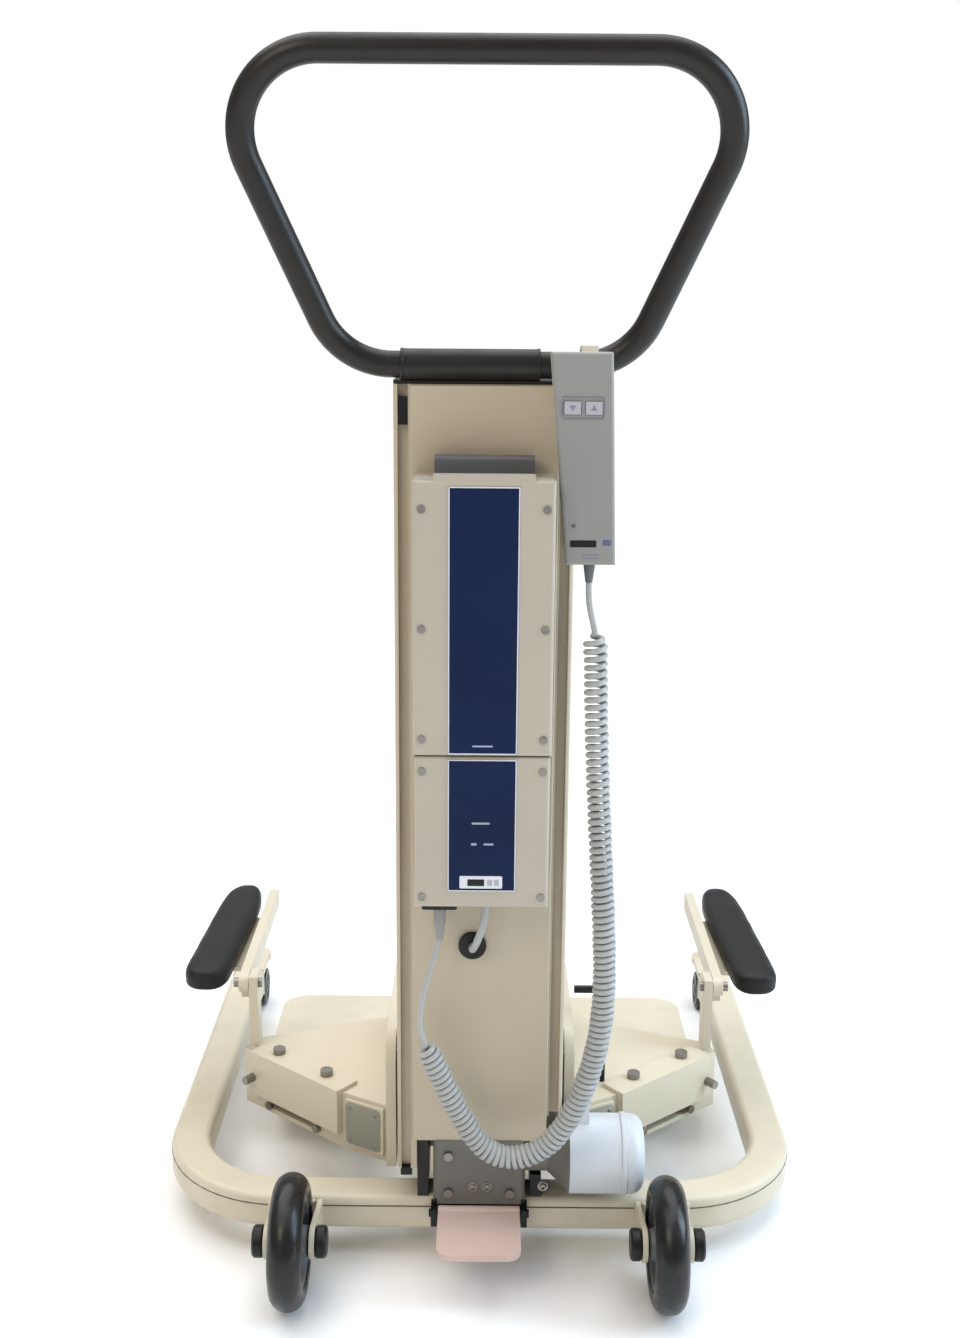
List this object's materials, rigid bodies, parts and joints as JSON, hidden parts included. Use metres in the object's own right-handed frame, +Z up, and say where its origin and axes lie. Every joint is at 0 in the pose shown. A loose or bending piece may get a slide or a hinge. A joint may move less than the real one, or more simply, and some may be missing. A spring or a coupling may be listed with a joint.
{
  "type": "sit to stand lift",
  "caption": "Battery-powered sit to stand lift: U-shaped wheeled chassis, mast with a lifting carriage and fold-up armrests, loop push handle, handset on a curly cord.",
  "frame": {"origin": "centre of the footprint at floor level, half way between the backs of the rear wheels and the front castor brackets", "axes": "+Z up, +Y forward to the patient, +X to the right as the carer stands behind the push handle"},
  "size_m": [0.658, 0.7324, 1.1287],
  "materials": {
    "cream_paint": "smooth powder coat",
    "beige_paint": "fine textured powder coat",
    "black_coat": "satin plastic coating",
    "black_plastic": "moulded",
    "case_plastic": "fine spark texture",
    "label_blue": "satin film",
    "dark_grey_plastic": "moulded",
    "handset_grey": "satin",
    "handset_cream": "satin",
    "key_grey": "soft touch",
    "cord_grey": "PVC sheath",
    "tyre": "smooth",
    "pad_black": "leather-grained foam skin",
    "pedal_pink": "semi-gloss",
    "gear_grey": "cast and painted",
    "motor_grey": "semi-gloss",
    "steel": "zinc plated",
    "bronze": "turned",
    "board_green": "printed board",
    "cell_grey": "moulded"
  },
  "bodies": {
    "chassis": {"chassis_tube": "cream_paint", "castor_brackets": "cream_paint", "wheel_forks": "cream_paint", "rear_axles": "black_plastic", "footplate": "cream_paint", "mast_column": "beige_paint", "mast_end_fittings": "black_plastic", "mast_base": "black_coat", "rear_cover": "beige_paint", "handle_loop": "black_coat", "handle_saddle": "black_coat", "frame_fasteners": "steel", "control_case": "case_plastic", "control_cover": "case_plastic", "control_label": "label_blue", "control_board": "board_green", "handset_socket": "black_plastic", "cord_plug": "dark_grey_plastic", "cable_grommet": "black_plastic", "actuator_cable": "cord_grey", "gearbox_housing": "gear_grey", "drive_motor": "motor_grey", "screw_top_bearing": "steel", "pedal_bracket": "black_plastic", "cord_lower": "cord_grey", "cord_coil": "cord_grey", "cord_upper": "cord_grey"},
    "battery": {"battery_case": "case_plastic", "battery_cover": "case_plastic", "battery_label": "label_blue", "battery_screws": "steel", "battery_cells": "cell_grey", "battery_handle": "dark_grey_plastic"},
    "pedal": {"foot_pedal": "pedal_pink"},
    "screw": {"lead_screw": "steel", "worm_wheel": "bronze"},
    "carriage": {"carriage_frame": "cream_paint", "carriage_rollers": "steel", "lead_nut": "bronze", "wings": "cream_paint", "clamp_strips": "cream_paint", "wing_bolts": "steel", "hinge_pins": "steel", "strap_post": "black_coat"},
    "armrest_left": {"arm_beam_left": "cream_paint", "arm_pad_left": "pad_black"},
    "armrest_right": {"arm_beam_right": "cream_paint", "arm_pad_right": "pad_black"},
    "wheel_left": {"rear_wheel_left": "tyre"},
    "wheel_right": {"rear_wheel_right": "tyre"},
    "castor_left": {"castor_swivel_left": "dark_grey_plastic"},
    "castor_right": {"castor_swivel_right": "dark_grey_plastic"},
    "castor_roller_left": {"castor_wheels_left": "tyre"},
    "castor_roller_right": {"castor_wheels_right": "tyre"},
    "handset": {"handset_rear_shell": "handset_grey", "handset_front_shell": "handset_cream", "handset_strain_relief": "dark_grey_plastic"},
    "key_up": {"handset_key_up": "key_grey"},
    "key_down": {"handset_key_down": "key_grey"}
  },
  "joints": [
    {"name": "lift", "type": "slide", "parent": "chassis", "child": "carriage", "axis": [0, 0, 1], "range_m": [0, 0.5]},
    {"name": "screw_spin", "type": "hinge", "parent": "chassis", "child": "screw", "pos_m": [0, -0.20375, 0.4], "axis": [0, 0, 1], "range_deg": [-20, 11270]},
    {"name": "battery_lift_off", "type": "slide", "parent": "chassis", "child": "battery", "axis": [0, 0, 1], "range_m": [0, 0.03]},
    {"name": "pedal_press", "type": "hinge", "parent": "chassis", "child": "pedal", "pos_m": [0, -0.24675, 0.057], "axis": [1, 0, 0], "range_deg": [0, 15], "stiffness_Nm_per_rad": 2, "springref_deg": -17.19},
    {"name": "handset_lift_off", "type": "slide", "parent": "chassis", "child": "handset", "axis": [0, 0, 1], "range_m": [0, 0.05]},
    {"name": "key_up_press", "type": "slide", "parent": "handset", "child": "key_up", "axis": [0, 1, 0], "range_m": [0, 0.0015], "stiffness_N_per_m": 400, "springref_m": -0.001},
    {"name": "key_down_press", "type": "slide", "parent": "handset", "child": "key_down", "axis": [0, 1, 0], "range_m": [0, 0.0015], "stiffness_N_per_m": 400, "springref_m": -0.001},
    {"name": "armrest_fold_left", "type": "hinge", "parent": "carriage", "child": "armrest_left", "pos_m": [-0.251, -0.05575, 0.21], "axis": [1, 0, 0], "range_deg": [0, 90]},
    {"name": "wheel_spin_left", "type": "hinge", "parent": "chassis", "child": "wheel_left", "pos_m": [-0.178, -0.30375, 0.0625], "axis": [1, 0, 0], "continuous": true},
    {"name": "castor_turn_left", "type": "hinge", "parent": "chassis", "child": "castor_left", "pos_m": [-0.307, 0.34425, 0.06], "axis": [0, 0, 1], "continuous": true},
    {"name": "castor_roll_left", "type": "hinge", "parent": "castor_left", "child": "castor_roller_left", "pos_m": [-0.307, 0.32625, 0.025], "axis": [1, 0, 0], "continuous": true},
    {"name": "armrest_fold_right", "type": "hinge", "parent": "carriage", "child": "armrest_right", "pos_m": [0.251, -0.05575, 0.21], "axis": [1, 0, 0], "range_deg": [0, 90]},
    {"name": "wheel_spin_right", "type": "hinge", "parent": "chassis", "child": "wheel_right", "pos_m": [0.178, -0.30375, 0.0625], "axis": [1, 0, 0], "continuous": true},
    {"name": "castor_turn_right", "type": "hinge", "parent": "chassis", "child": "castor_right", "pos_m": [0.307, 0.34425, 0.06], "axis": [0, 0, 1], "continuous": true},
    {"name": "castor_roll_right", "type": "hinge", "parent": "castor_right", "child": "castor_roller_right", "pos_m": [0.307, 0.32625, 0.025], "axis": [1, 0, 0], "continuous": true}
  ],
  "couplings": [
    {"joint": "screw_spin", "follows": "lift", "rad_per_m": 392.7}
  ]
}
